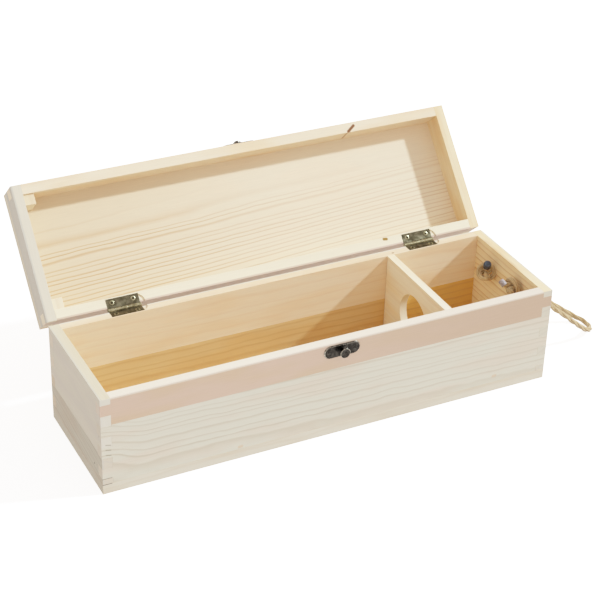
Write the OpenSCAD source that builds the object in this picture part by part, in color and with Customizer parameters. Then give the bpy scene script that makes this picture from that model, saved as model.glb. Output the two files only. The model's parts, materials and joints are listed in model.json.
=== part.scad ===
// Wooden wine box for one bottle, lid open. Millimetres, +Z up.
// The origin is the middle of the underside, +X runs to the right end and -Y is the front.

/* [Box] */
// Length over the end walls
box_l = 350; // [320:1:400]
// Width over the front and back walls
box_w = 100; // [90:1:130]
// Height of the body from the table to its rim
body_h = 76; // [65:1:100]
// Height of the lid from its rim to its top
lid_h = 24; // [20:1:40]
// Thickness of the walls and lid rails
wall_t = 7.5; // [6:0.5:10]
// Thickness of the bottom panel, laid under the walls
bottom_t = 7.8; // [4:0.1:10]
// Thickness of the lid panel, laid on the rails
lid_panel_t = 6.5; // [4:0.1:9]
// Gap between the two rims when the lid is shut
rim_gap = 0.4; // [0.3:0.05:1]
// How far the lid stands open from shut, in degrees
lid_open = 132; // [95:1:150]

/* [Boards] */
// Height of the glue line in the front wall
front_seam_z = 55; // [40:1:60]
// Height of the glue line in the back wall
back_seam_z = 39; // [25:1:60]
// Height of the glue line in the left end wall
left_seam_z = 30; // [20:1:60]

/* [Finger joints] */
// Height of one finger
finger_h = 8.45; // [6:0.05:12]
// Height of the end wall's first finger under the body's rim
body_first_finger = 4.8; // [3:0.1:8]
// Height of the end rail's first finger at the lid's rim
lid_first_finger = 3.9; // [3:0.1:8]

/* [Divider] */
// Length of the bottle room, from the left wall to the divider
bottle_room_l = 256; // [230:1:270]
// Thickness of the divider
divider_t = 5.8; // [4:0.1:8]
// Diameter of the neck hole
neck_hole_d = 39; // [30:0.5:45]
// Height of the neck hole's centre
neck_hole_z = 43.5; // [36:0.5:48]

/* [Lid blocks] */
// Side of the square glue blocks in the lid's left corners
block_w = 8; // [5:0.5:12]
// How far the blocks end below the lid's rim
block_drop = 1.5; // [0.5:0.1:5]

/* [Hinges] */
// Distance from the left end to the middle of the left hinge
left_hinge_inset = 57; // [35:0.5:85]
// Distance from the right end to the middle of the right hinge
right_hinge_inset = 54.5; // [35:0.5:75]
// Length of a hinge
hinge_l = 24.5; // [20:0.5:32]
// Thickness of the hinge leaves
leaf_t = 0.8; // [0.6:0.1:1.2]
// Depth of a leaf, from its front edge to the back face of the box
leaf_w = 6.6; // [5:0.1:7]
// Radius of the leaf's front corners
leaf_corner_r = 0.8; // [0.4:0.1:1.5]
// Diameter of the hinge knuckles
knuckle_d = 3; // [2.6:0.1:4]
// Diameter of the hinge pin
pin_d = 1.4; // [1:0.1:1.6]
// Number of knuckles on a hinge
knuckles = 5; // [5:2:7]
// Gap between the knuckles and the back face
knuckle_clear = 0.2; // [0.1:0.05:0.5]
// How far the stops stand out from the knuckles
stop_h = 1.2; // [0.8:0.1:1.5]
// Length of each stop along the pin
stop_l = 1.6; // [1:0.1:2.4]
// How far the recess's rounded end reaches past the leaf's right end
recess_extra = 4; // [0.5:0.5:5]
// Radius of the recess's rounded end
recess_end_r = 6.4; // [5.5:0.1:6.6]

/* [Hinge screws] */
// Distance between the two screws of a leaf
screw_pitch = 16; // [12:0.5:18]
// Distance from the back face to the screws
screw_inset = 3.7; // [3:0.1:4.2]
// Diameter of the screw heads
screw_head_d = 3.4; // [2.6:0.1:4]
// Diameter of the screw shanks
screw_d = 1.4; // [1:0.1:1.8]
// Length of the screws
screw_l = 7; // [5:0.5:10]

/* [Clasp] */
// Middle of the clasp along the box
clasp_x = 2.2; // [-20:0.1:20]
// Length of the clasp plates
plate_l = 28; // [24:0.5:36]
// Height of the clasp plates
plate_h = 10; // [8:0.5:11]
// Thickness of the clasp plates
plate_t = 1; // [0.6:0.1:1.5]
// Width of the bevel round the plates
plate_bevel = 0.5; // [0.2:0.1:0.5]
// Distance from a rim to the middle of its plate
plate_inset = 6.5; // [6:0.1:8]
// Distance from the middle of a plate to its nails
nail_offset = 10; // [8:0.5:11]
// Diameter of the nail heads
nail_head_d = 2.6; // [2:0.1:3]
// Height of the nail heads
nail_head_h = 0.4; // [0.2:0.1:0.5]
// Diameter of the nail shanks
nail_d = 1; // [0.8:0.1:1.4]
// Length of the nails in the wood
nail_l = 5; // [3:0.5:6]
// Length of the rivet and of the knob's shank in the wood
rivet_l = 3; // [2:0.5:6]
// Diameter of the knob's neck
knob_neck_d = 3; // [2:0.1:4]
// Diameter of the knob's head
knob_head_d = 7.6; // [6:0.1:9]
// Height of the knob over its plate
knob_h = 4.8; // [4.6:0.1:7]
// Height of the knob's straight neck over its plate
knob_neck_h = 2.2; // [2:0.1:3]
// Thickness of the knob's rim
knob_rim_t = 0.6; // [0.4:0.1:1]
// Diameter of the rivet's and the knob's shanks
rivet_d = 2.2; // [1.6:0.1:2.6]
// Diameter of the rivet's head
rivet_head_d = 4.2; // [3.4:0.1:5]
// Height of the rivet's head
rivet_head_h = 0.7; // [0.4:0.1:1]

/* [Hook] */
// Thickness of the hook
hook_t = 1; // [0.8:0.1:1.2]
// Height of the shoulder that carries the hook over its plate
hook_lift = 0.6; // [0.5:0.1:0.8]
// Width of metal round the slot and the eye
hook_rim = 1.9; // [1.4:0.1:2.2]
// Width of the hook's arm
hook_arm_w = 4; // [3:0.1:5]

/* [Rope] */
// Diameter of the rope
rope_d = 4; // [4:0.1:5]
// Diameter of the rope holes
rope_hole_d = 5.6; // [5.2:0.1:7]
// Distance between the rope holes
rope_hole_pitch = 36; // [34:1:38]
// Height of the rope holes
rope_hole_z = 60; // [59:1:61]
// Diameter of the knots
knot_d = 13.4; // [12:0.1:14]
// Length of the rope's end past the middle of a knot
knot_tail_l = 11; // [8:0.5:12]

/* [Hidden] */
$fn = 48;

// Cuts reach this far past the faces that they open
over = 1;
// Smallest finger that is still cut
least_finger = 1;
// Clearance of a leaf in its recess, along the box and to the front
recess_fit = 0.1;
// Radial clearance of a shank in its hole
shank_fit = 0.05;
// Radial clearance of the pin in the knuckles
pin_fit = 0.05;
// Length of the peened heads of the hinge pins
pin_head_l = 0.45;
// Gap between neighbouring knuckles, and round them
knuckle_gap = 0.12;
// Angle by which the two hinge stops miss each other, in degrees
stop_miss = 0.6;
// Gap between the hook and what it slides along
hook_gap = 0.1;
// Clearance of the knob's neck in the hook's slot, on each side
slot_fit = 0.3;

inner_l = box_l - 2 * wall_t;
inner_w = box_w - 2 * wall_t;
lid_rim_z = body_h + rim_gap;
lid_rail_h = lid_h - lid_panel_t;
divider_x = -inner_l / 2 + bottle_room_l;
left_hinge_x = -box_l / 2 + left_hinge_inset;
right_hinge_x = box_l / 2 - right_hinge_inset;
knuckle_r = knuckle_d / 2;
knuckle_mid_r = (pin_d + knuckle_d) / 4;
hinge_y = box_w / 2 + knuckle_r + knuckle_clear;
hinge_z = body_h + rim_gap / 2;
knuckle_l = hinge_l / knuckles;
leaf_front = box_w / 2 - leaf_w;
leaf_back = hinge_y - knuckle_r - knuckle_gap;
stop_r = knuckle_r + stop_h;
body_plate_z = body_h - plate_inset;
lid_plate_z = lid_rim_z + plate_inset;
hook_reach = lid_plate_z - body_plate_z;
slot_w = knob_neck_d + 2 * slot_fit;
front_y = -box_w / 2;
plate_front_y = front_y - plate_t;
hook_back_y = plate_front_y - hook_lift;

pine = "#E6D3B0";
pale_pine = "#EADFC8";
pink_pine = "#D9BFA6";
gold_pine = "#D2AB68";
bronze = "#8A7F5A";
dark_bronze = "#3B3530";
straw = "#C9BB8E";

// Depths under a rim at which the fingers change from one wall to the other
function finger_depths(first, total) = concat(
    [0],
    [for (d = first; d < total - least_finger; d = d + finger_h) d],
    [total]
);

body_depths = finger_depths(body_first_finger, body_h - bottom_t);
lid_depths = finger_depths(lid_first_finger, lid_rail_h);

// A block between two depths from a rim: way is -1 down into the body, 1 up into the lid
module depth_block(corner, size, rim, way, d0, d1) {
    translate([corner.x, corner.y, min(rim + way * d0, rim + way * d1)])
        cube([size.x, size.y, d1 - d0]);
}

// Cuts the fingers from number "first" on out of both ends of a board
module finger_cuts(first, corners, size, rim, way, depths, d0, d1) {
    for (i = [first:2:len(depths) - 2]) {
        from = max(d0, depths[i]);
        to = min(d1, depths[i + 1]);
        if (to > from)
            for (corner = corners)
                depth_block(
                    corner, size, rim, way,
                    from > d0 ? from : d0 - over,
                    to < d1 ? to : d1 + over
                );
    }
}

// A board along the box: the end walls' fingers are cut out of its ends
module long_board(y, rim, way, depths, d0, d1) {
    difference() {
        depth_block([-box_l / 2, y], [box_l, wall_t], rim, way, d0, d1);
        finger_cuts(
            0, [[-box_l / 2 - over, y - over], [inner_l / 2, y - over]],
            [wall_t + over, wall_t + 2 * over], rim, way, depths, d0, d1
        );
    }
}

// A board across the box: the front and back walls' fingers are cut out of its ends
module end_board(x, rim, way, depths, d0, d1) {
    difference() {
        depth_block([x, -box_w / 2], [wall_t, box_w], rim, way, d0, d1);
        finger_cuts(
            1, [[x - over, -box_w / 2 - over], [x - over, inner_w / 2]],
            [wall_t + 2 * over, wall_t + over], rim, way, depths, d0, d1
        );
    }
}

// Turns what is drawn as shut to where the open lid holds it
module opened() {
    translate([0, hinge_y, hinge_z])
        rotate([-lid_open, 0, 0])
            translate([0, -hinge_y, -hinge_z])
                children();
}

// A round bar along the box, centred on the hinge pin
module pin_bar(x0, x1, r) {
    translate([x0, hinge_y, hinge_z])
        rotate([0, 90, 0])
            cylinder(h = x1 - x0, r = r);
}

// A round bar that points out of the front of the box, from y0 forward to y1
module front_bar(x, z, y0, y1, r0, r1) {
    translate([x, y0, z])
        rotate([90, 0, 0])
            cylinder(h = y0 - y1, r1 = r0, r2 = r1);
}

hinge_xs = [left_hinge_x, right_hinge_x];
screw_y = box_w / 2 - screw_inset;

// Pilot holes and leaf recesses in a rim: way is -1 for the body and 1 for the lid
module hinge_pockets(rim, way) {
    recess_y = leaf_front - recess_fit;
    for (x = hinge_xs) {
        depth_block(
            [x - hinge_l / 2 - recess_fit, recess_y],
            [hinge_l + 2 * recess_fit, box_w / 2 - recess_y + over],
            rim, way, -over, leaf_t
        );
        translate([x + hinge_l / 2 + recess_extra - recess_end_r, box_w / 2, rim])
            rotate([way > 0 ? 0 : 180, 0, 0])
                translate([0, 0, -over])
                    cylinder(h = leaf_t + over, r = recess_end_r);
        for (side = [-1, 1])
            translate([x + side * screw_pitch / 2, screw_y, rim])
                rotate([way > 0 ? 0 : 180, 0, 0])
                    cylinder(h = screw_l + shank_fit, d = screw_d + 2 * shank_fit);
    }
}

// The four screws of one side, heads flush with the leaf
module hinge_screws(rim, way) {
    for (x = hinge_xs)
        for (side = [-1, 1])
            translate([x + side * screw_pitch / 2, screw_y, rim])
                rotate([way > 0 ? 0 : 180, 0, 0]) {
                    cylinder(h = leaf_t - shank_fit, d1 = screw_head_d, d2 = screw_d);
                    cylinder(h = screw_l, d = screw_d);
                }
}

// A flat leaf with rounded front corners and countersunk screw holes
module leaf_plate(x, rim, way) {
    z = way > 0 ? rim : rim - leaf_t;
    difference() {
        union() {
            translate([x - hinge_l / 2, leaf_front + leaf_corner_r, z])
                cube([hinge_l, leaf_back - leaf_front - leaf_corner_r, leaf_t]);
            translate([x - hinge_l / 2 + leaf_corner_r, leaf_front, z])
                cube([hinge_l - 2 * leaf_corner_r, leaf_w / 2, leaf_t]);
            for (side = [-1, 1])
                translate([x + side * (hinge_l / 2 - leaf_corner_r), leaf_front + leaf_corner_r, z])
                    cylinder(h = leaf_t, r = leaf_corner_r);
        }
        for (side = [-1, 1])
            translate([x + side * screw_pitch / 2, screw_y, rim])
                rotate([way > 0 ? 0 : 180, 0, 0])
                    cylinder(
                        h = leaf_t,
                        d1 = screw_head_d + 2 * shank_fit,
                        d2 = screw_d + 4 * shank_fit
                    );
    }
}

// A slice of the space round the pin, between two angles from +Y towards +Z
module pin_sector(x0, x1, r0, r1, a0, a1) {
    reach = 2 * r1;
    middle = (a0 + a1) / 2;
    difference() {
        intersection() {
            pin_bar(x0, x1, r1);
            translate([x0 - over, hinge_y, hinge_z])
                rotate([90, 0, 90])
                    linear_extrude(x1 - x0 + 2 * over)
                        polygon([
                            [0, 0],
                            [reach * cos(a0), reach * sin(a0)],
                            [reach * cos(middle), reach * sin(middle)],
                            [reach * cos(a1), reach * sin(a1)]
                        ]);
        }
        pin_bar(x0 - over, x1 + over, r0);
    }
}

// The angles that the hinge stops fill, the lid's with the lid shut
body_stop = [-100, -60];
lid_stop = [body_stop[1] + lid_open + stop_miss, 2 * body_stop[1] - body_stop[0] + lid_open];

// A stop on one side of the joint between an outer knuckle and its neighbour
module hinge_stop(x, end, own, angles) {
    joint_x = x + end * (hinge_l / 2 - knuckle_l);
    pin_sector(
        joint_x - stop_l / 2, joint_x + stop_l / 2,
        knuckle_r + knuckle_gap, stop_r, angles[0], angles[1]
    );
    x0 = own * end > 0 ? joint_x + knuckle_gap : joint_x - stop_l / 2;
    x1 = own * end > 0 ? joint_x + stop_l / 2 : joint_x - knuckle_gap;
    pin_sector(x0, x1, knuckle_mid_r, knuckle_r + 2 * knuckle_gap, angles[0], angles[1]);
}

// A leaf with its own knuckles: own is 0 for the body's outer ones and 1 for the lid's between them
module hinge_leaf(x, own, rim, way, angles) {
    difference() {
        union() {
            leaf_plate(x, rim, way);
            for (i = [own:2:knuckles - 1]) {
                x0 = x - hinge_l / 2 + i * knuckle_l + (i > 0 ? knuckle_gap / 2 : 0);
                x1 = x - hinge_l / 2 + (i + 1) * knuckle_l - (i < knuckles - 1 ? knuckle_gap / 2 : 0);
                pin_bar(x0, x1, knuckle_r);
                translate([x0, leaf_back - leaf_corner_r, way > 0 ? rim : rim - leaf_t])
                    cube([x1 - x0, hinge_y - leaf_back + leaf_corner_r, leaf_t]);
            }
            for (end = [-1, 1])
                hinge_stop(x, end, own == 0 ? 1 : -1, angles);
        }
        pin_bar(x - hinge_l / 2 - over, x + hinge_l / 2 + over, pin_d / 2 + pin_fit);
    }
}

// The pin with a small peened head at each end
module hinge_pin(x) {
    reach = hinge_l / 2 + pin_fit;
    pin_bar(x - reach - pin_head_l, x + reach + pin_head_l, pin_d / 2);
    for (end = [-1, 1])
        pin_bar(
            x + (end > 0 ? reach : -reach - pin_head_l),
            x + (end > 0 ? reach + pin_head_l : -reach),
            knuckle_mid_r
        );
}

// A stadium plate on the front face, bevelled round its outer edge and pierced for rivet and nails
module clasp_plate(z) {
    flat_l = plate_l - plate_h;
    edge_y = plate_front_y + plate_bevel;
    difference() {
        union() {
            translate([clasp_x - flat_l / 2, front_y, z])
                rotate([90, 0, 90])
                    linear_extrude(flat_l)
                        polygon([
                            [0, -plate_h / 2],
                            [0, plate_h / 2],
                            [-plate_t + plate_bevel, plate_h / 2],
                            [-plate_t, plate_h / 2 - plate_bevel],
                            [-plate_t, -plate_h / 2 + plate_bevel],
                            [-plate_t + plate_bevel, -plate_h / 2]
                        ]);
            for (end = [-1, 1]) {
                x = clasp_x + end * flat_l / 2;
                front_bar(x, z, front_y, edge_y, plate_h / 2, plate_h / 2);
                front_bar(x, z, edge_y, plate_front_y, plate_h / 2, plate_h / 2 - plate_bevel);
            }
        }
        clasp_holes(z);
    }
}

// The holes of the rivet and the two nails, through a plate and into the wood
module clasp_holes(z) {
    rivet_hole_r = rivet_d / 2 + shank_fit;
    nail_hole_r = nail_d / 2 + shank_fit;
    front_bar(clasp_x, z, front_y + rivet_l + shank_fit, plate_front_y - over, rivet_hole_r, rivet_hole_r);
    for (end = [-1, 1])
        front_bar(
            clasp_x + end * nail_offset, z,
            front_y + nail_l + shank_fit, plate_front_y - over, nail_hole_r, nail_hole_r
        );
}

// Two small nails with low round heads
module clasp_nails(z) {
    for (end = [-1, 1]) {
        x = clasp_x + end * nail_offset;
        front_bar(x, z, front_y + nail_l, plate_front_y, nail_d / 2, nail_d / 2);
        front_bar(
            x, z, plate_front_y, plate_front_y - nail_head_h,
            nail_head_d / 2, nail_head_d / 2 - nail_head_h
        );
    }
}

// The hook, flat in XZ round its rivet and pointing up
module hook_outline() {
    inner_r = hook_reach - slot_w / 2 - hook_rim;
    outer_r = hook_reach + slot_w / 2 + hook_rim;
    back_angle = 24;
    lip_angle = 17;
    mouth_angle = 45;
    tilt = 9;
    difference() {
        union() {
            circle(r = rivet_d / 2 + hook_rim);
            rotate(tilt)
                translate([-hook_arm_w / 2, 0])
                    square([hook_arm_w, inner_r + hook_rim]);
            intersection() {
                difference() {
                    circle(r = outer_r);
                    circle(r = inner_r);
                }
                polygon([
                    [0, 0],
                    2 * outer_r * [-sin(back_angle), cos(back_angle)],
                    2 * outer_r * [sin(lip_angle), cos(lip_angle)]
                ]);
            }
        }
        circle(r = rivet_d / 2 + shank_fit);
        intersection() {
            difference() {
                circle(r = hook_reach + slot_w / 2);
                circle(r = hook_reach - slot_w / 2);
            }
            polygon([
                [0, 0],
                [0, 2 * outer_r],
                2 * outer_r * [sin(mouth_angle), cos(mouth_angle)]
            ]);
        }
        translate([0, hook_reach])
            circle(d = slot_w);
    }
}

// Points that the rope's middle line runs through, from the back knot round to the front knot.
// Their X is counted from the outer face of the right end, as that of the knots is.
rope_route = [
    [-14, 16.5, 57.5], [-10.5, 17.5, 59.2], [-7, 18, 60], [0, 18, 60], [6, 18, 58.5],
    [12, 18, 54], [18, 18, 47.5], [25, 18, 39], [37, 17.5, 27], [49, 15.5, 17],
    [59, 11.5, 10.2], [67.5, 6.5, 4.8], [72, 0, 2.7], [71, -8, 2.7], [65.5, -14.8, 5.4],
    [58, -18.2, 10], [48.5, -19.8, 18], [37, -20, 28], [25, -19.5, 38], [18, -19, 46.5],
    [12, -18.5, 53.5], [6, -18, 58.5], [0, -18, 60], [-7, -18, 60], [-10.5, -18.3, 61.5],
    [-14, -19, 64]
];
back_knot = [-15, 16, 57];
front_knot = [-15, -19, 65];
back_tail = [0.1, 0, 1];
front_tail = [-0.7, 0.6, 0.4];
rope_sides = 8;
rings_per_span = 2;
// A direction that the rope never runs along, to set its rings by
rope_normal = [0.57, 0.16, 0.81];

function unit(v) = v / norm(v);
function route_point(i) = rope_route[max(0, min(len(rope_route) - 1, i))];
function route_slope(i) = (route_point(i + 1) - route_point(i - 1)) / 2;

// A smooth curve through the route's points, span i at t from 0 to 1
function rope_at(i, t) =
    (2 * t ^ 3 - 3 * t ^ 2 + 1) * route_point(i) + (t ^ 3 - 2 * t ^ 2 + t) * route_slope(i)
    + (3 * t ^ 2 - 2 * t ^ 3) * route_point(i + 1) + (t ^ 3 - t ^ 2) * route_slope(i + 1);

rope_line = concat(
    [for (i = [0:len(rope_route) - 2]) for (s = [0:rings_per_span - 1]) rope_at(i, s / rings_per_span)],
    [route_point(len(rope_route) - 1)]
);

// One ring of the rope's tube, square to the middle line
function rope_ring(k) =
    let (
        last = len(rope_line) - 1,
        along = unit(rope_line[min(k + 1, last)] - rope_line[max(k - 1, 0)]),
        side = unit(cross(along, rope_normal)),
        up = cross(side, along)
    )
    [for (s = [0:rope_sides - 1])
        let (a = 360 * s / rope_sides)
        rope_line[k] + rope_d / 2 * (cos(a) * side + sin(a) * up)];

module rope_tube() {
    rings = len(rope_line);
    points = [for (k = [0:rings - 1]) each rope_ring(k)];
    sides = [
        for (k = [0:rings - 2]) for (s = [0:rope_sides - 1])
            let (n = (s + 1) % rope_sides)
            [k * rope_sides + s, (k + 1) * rope_sides + s, (k + 1) * rope_sides + n, k * rope_sides + n]
    ];
    start = [for (s = [0:rope_sides - 1]) s];
    finish = [for (s = [rope_sides - 1:-1:0]) (rings - 1) * rope_sides + s];
    polyhedron(points, concat(sides, [start], [finish]));
}

// The outer shape of a knot, with the rope's short end standing out of it
module knot(centre, tail) {
    way = unit(tail);
    translate([box_l / 2, 0, 0] + centre) {
        sphere(d = knot_d);
        rotate([0, acos(way.z), atan2(way.y, way.x)])
            cylinder(h = knot_tail_l, d = rope_d);
    }
}

module front_upper_board() {
    color(pink_pine)
        difference() {
            long_board(-box_w / 2, body_h, -1, body_depths, 0, body_h - front_seam_z);
            clasp_holes(body_plate_z);
        }
}

module front_lower_board() {
    color(pale_pine)
        long_board(-box_w / 2, body_h, -1, body_depths, body_h - front_seam_z, body_h - bottom_t);
}

module back_upper_board() {
    color(pine)
        difference() {
            long_board(inner_w / 2, body_h, -1, body_depths, 0, body_h - back_seam_z);
            hinge_pockets(body_h, -1);
        }
}

module back_lower_board() {
    color(gold_pine)
        long_board(inner_w / 2, body_h, -1, body_depths, body_h - back_seam_z, body_h - bottom_t);
}

module left_end_upper_board() {
    color(pale_pine)
        end_board(-box_l / 2, body_h, -1, body_depths, 0, body_h - left_seam_z);
}

module left_end_lower_board() {
    color(pink_pine)
        end_board(-box_l / 2, body_h, -1, body_depths, body_h - left_seam_z, body_h - bottom_t);
}

module right_end_board() {
    color(pine)
        difference() {
            end_board(inner_l / 2, body_h, -1, body_depths, 0, body_h - bottom_t);
            for (side = [-1, 1])
                translate([inner_l / 2 - over, side * rope_hole_pitch / 2, rope_hole_z])
                    rotate([0, 90, 0])
                        cylinder(h = wall_t + 2 * over, d = rope_hole_d);
        }
}

module bottom_panel() {
    color(pine)
        translate([-box_l / 2, -box_w / 2, 0])
            cube([box_l, box_w, bottom_t]);
}

module divider() {
    color(pine)
        difference() {
            translate([divider_x, -inner_w / 2, bottom_t])
                cube([divider_t, inner_w, body_h - bottom_t]);
            translate([divider_x - over, 0, neck_hole_z])
                rotate([0, 90, 0])
                    cylinder(h = divider_t + 2 * over, d = neck_hole_d);
        }
}

module lid_front_rail() {
    color(pine)
        opened()
            difference() {
                long_board(-box_w / 2, lid_rim_z, 1, lid_depths, 0, lid_rail_h);
                clasp_holes(lid_plate_z);
            }
}

module lid_back_rail() {
    color(pine)
        opened()
            difference() {
                long_board(inner_w / 2, lid_rim_z, 1, lid_depths, 0, lid_rail_h);
                hinge_pockets(lid_rim_z, 1);
            }
}

module lid_left_rail() {
    color(pale_pine)
        opened()
            end_board(-box_l / 2, lid_rim_z, 1, lid_depths, 0, lid_rail_h);
}

module lid_right_rail() {
    color(pine)
        opened()
            end_board(inner_l / 2, lid_rim_z, 1, lid_depths, 0, lid_rail_h);
}

module lid_panel() {
    color(pale_pine)
        opened()
            translate([-box_l / 2, -box_w / 2, lid_rim_z + lid_rail_h])
                cube([box_l, box_w, lid_panel_t]);
}

// A glue block in a left corner of the lid
module lid_block(y) {
    color(pine)
        opened()
            depth_block([-inner_l / 2, y], [block_w, block_w], lid_rim_z, 1, block_drop, lid_rail_h);
}

module lid_front_block() {
    lid_block(-inner_w / 2);
}

module lid_back_block() {
    lid_block(inner_w / 2 - block_w);
}

module left_hinge_body_leaf() {
    color(bronze)
        hinge_leaf(left_hinge_x, 0, body_h, -1, body_stop);
}

module left_hinge_lid_leaf() {
    color(bronze)
        opened()
            hinge_leaf(left_hinge_x, 1, lid_rim_z, 1, lid_stop);
}

module left_hinge_pin() {
    color(bronze)
        hinge_pin(left_hinge_x);
}

module right_hinge_body_leaf() {
    color(bronze)
        hinge_leaf(right_hinge_x, 0, body_h, -1, body_stop);
}

module right_hinge_lid_leaf() {
    color(bronze)
        opened()
            hinge_leaf(right_hinge_x, 1, lid_rim_z, 1, lid_stop);
}

module right_hinge_pin() {
    color(bronze)
        hinge_pin(right_hinge_x);
}

module hinge_body_screws() {
    color(bronze)
        hinge_screws(body_h, -1);
}

module hinge_lid_screws() {
    color(bronze)
        opened()
            hinge_screws(lid_rim_z, 1);
}

module clasp_body_plate() {
    color(dark_bronze)
        clasp_plate(body_plate_z);
}

// A mushroom knob: a straight neck that flares to a flat round head
module clasp_knob() {
    neck_r = knob_neck_d / 2;
    head_r = knob_head_d / 2;
    flare_h = knob_h - knob_rim_t;
    // Shares of the flare's width and height at its two middle steps
    steps = [[0.2, 0.5], [0.55, 0.85]];
    color(dark_bronze)
        translate([clasp_x, plate_front_y, body_plate_z])
            rotate([90, 0, 0])
                rotate_extrude()
                    polygon([
                        [0, -plate_t - rivet_l],
                        [rivet_d / 2, -plate_t - rivet_l],
                        [rivet_d / 2, 0],
                        [neck_r, 0],
                        [neck_r, knob_neck_h],
                        for (share = steps) [
                            neck_r + (head_r - neck_r) * share.x,
                            knob_neck_h + (flare_h - knob_neck_h) * share.y
                        ],
                        [head_r, flare_h],
                        [head_r, knob_h],
                        [0, knob_h]
                    ]);
}

module clasp_body_nails() {
    color(dark_bronze)
        clasp_nails(body_plate_z);
}

module clasp_lid_plate() {
    color(dark_bronze)
        opened()
            clasp_plate(lid_plate_z);
}

// The rivet: a shank in the rail, a shoulder under the hook and a round head over it
module clasp_rivet() {
    head_back_y = hook_back_y - hook_t - hook_gap;
    shoulder_r = rivet_d / 2 + hook_rim / 2;
    color(dark_bronze)
        opened() {
            front_bar(clasp_x, lid_plate_z, front_y + rivet_l, head_back_y, rivet_d / 2, rivet_d / 2);
            front_bar(
                clasp_x, lid_plate_z, plate_front_y, hook_back_y + hook_gap, shoulder_r, shoulder_r
            );
            front_bar(
                clasp_x, lid_plate_z, head_back_y, head_back_y - rivet_head_h,
                rivet_head_d / 2, rivet_head_d / 2 - rivet_head_h / 2
            );
        }
}

module clasp_lid_nails() {
    color(dark_bronze)
        opened()
            clasp_nails(lid_plate_z);
}

module clasp_hook() {
    color(dark_bronze)
        opened()
            translate([clasp_x, hook_back_y, lid_plate_z])
                rotate([90, 0, 0])
                    linear_extrude(hook_t)
                        hook_outline();
}

module rope_handle() {
    color(straw)
        translate([box_l / 2, 0, 0])
            rope_tube();
}

module rope_back_knot() {
    color(straw)
        knot(back_knot, back_tail);
}

module rope_front_knot() {
    color(straw)
        knot(front_knot, front_tail);
}

front_upper_board();
front_lower_board();
back_upper_board();
back_lower_board();
left_end_upper_board();
left_end_lower_board();
right_end_board();
bottom_panel();
divider();
lid_front_rail();
lid_back_rail();
lid_left_rail();
lid_right_rail();
lid_panel();
lid_front_block();
lid_back_block();
left_hinge_body_leaf();
left_hinge_lid_leaf();
left_hinge_pin();
right_hinge_body_leaf();
right_hinge_lid_leaf();
right_hinge_pin();
hinge_body_screws();
hinge_lid_screws();
clasp_body_plate();
clasp_knob();
clasp_body_nails();
clasp_lid_plate();
clasp_rivet();
clasp_lid_nails();
clasp_hook();
rope_handle();
rope_back_knot();
rope_front_knot();
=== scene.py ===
# %% [markdown]
# # A pine box for one bottle
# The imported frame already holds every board, hinge leaf and screw at its real size and in its real
# place. This lesson never moves them. It gives each one its finish, and where an edge, a strand or a
# slot needs more than a plain solid has, it puts a finer piece in the solid's place.

# %% The fixed frame
import json
import math

import bmesh
import bpy
from mathutils import Matrix, Vector


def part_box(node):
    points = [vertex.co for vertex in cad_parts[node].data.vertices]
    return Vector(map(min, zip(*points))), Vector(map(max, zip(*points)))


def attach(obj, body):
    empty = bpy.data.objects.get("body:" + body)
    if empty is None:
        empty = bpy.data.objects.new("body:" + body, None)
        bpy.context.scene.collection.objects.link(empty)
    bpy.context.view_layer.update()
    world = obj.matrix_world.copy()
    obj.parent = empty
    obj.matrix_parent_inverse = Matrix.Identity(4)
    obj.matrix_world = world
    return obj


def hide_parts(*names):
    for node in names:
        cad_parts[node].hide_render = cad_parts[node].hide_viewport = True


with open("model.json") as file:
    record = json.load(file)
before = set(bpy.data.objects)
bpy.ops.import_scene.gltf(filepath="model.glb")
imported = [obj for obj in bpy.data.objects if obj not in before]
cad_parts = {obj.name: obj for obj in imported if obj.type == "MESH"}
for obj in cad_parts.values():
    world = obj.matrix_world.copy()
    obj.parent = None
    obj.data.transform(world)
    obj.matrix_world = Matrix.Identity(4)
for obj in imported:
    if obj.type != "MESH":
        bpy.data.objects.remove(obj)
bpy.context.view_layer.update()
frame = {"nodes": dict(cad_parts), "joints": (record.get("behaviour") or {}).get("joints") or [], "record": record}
nodes = frame["nodes"]
scene = bpy.context.scene
MM = 0.001

# %% [markdown]
# ## The camera
# The photograph was taken with a long lens from the left and above. Its place was worked out from the
# corners of the box, so the camera is set by its angles and its eye point, not by trial and error.

# %% Camera
AZIMUTH, ELEVATION, ROLL = (math.radians(angle) for angle in (-27.21, 30.94, 1.78))
EYE = Vector((-478.6, -919.8, 703.7)) * MM
FOCAL_PIXELS = 1708.5
PHOTO_PIXELS = 600
SENSOR_MM = 36

back = Vector((
    math.sin(AZIMUTH) * math.cos(ELEVATION),
    -math.cos(AZIMUTH) * math.cos(ELEVATION),
    math.sin(ELEVATION),
))
level = Vector((math.cos(AZIMUTH), math.sin(AZIMUTH), 0))
upright = back.cross(level)
right = level * math.cos(ROLL) + upright * math.sin(ROLL)
up = upright * math.cos(ROLL) - level * math.sin(ROLL)

camera = bpy.data.objects.new("camera", bpy.data.cameras.new("camera"))
camera.data.sensor_width = SENSOR_MM
camera.data.lens = SENSOR_MM * FOCAL_PIXELS / PHOTO_PIXELS
camera.matrix_world = Matrix.Translation(EYE) @ Matrix((right, up, back)).transposed().to_4x4()
scene.collection.objects.link(camera)
scene.camera = camera
print("lens:", round(camera.data.lens, 1), "mm")

# %% [markdown]
# ## The rope handle
# The handle is about 23 cm of 4 mm laid rope: three strands twisted round each other. It hangs out of
# two holes in the right end and its bend rests on the table. The route is the same list of points
# that the frame's plain tube follows, counted from the outer face of the right end. One strand is a
# round tube along a helix that winds round the route, and the rope is three of them.

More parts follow.
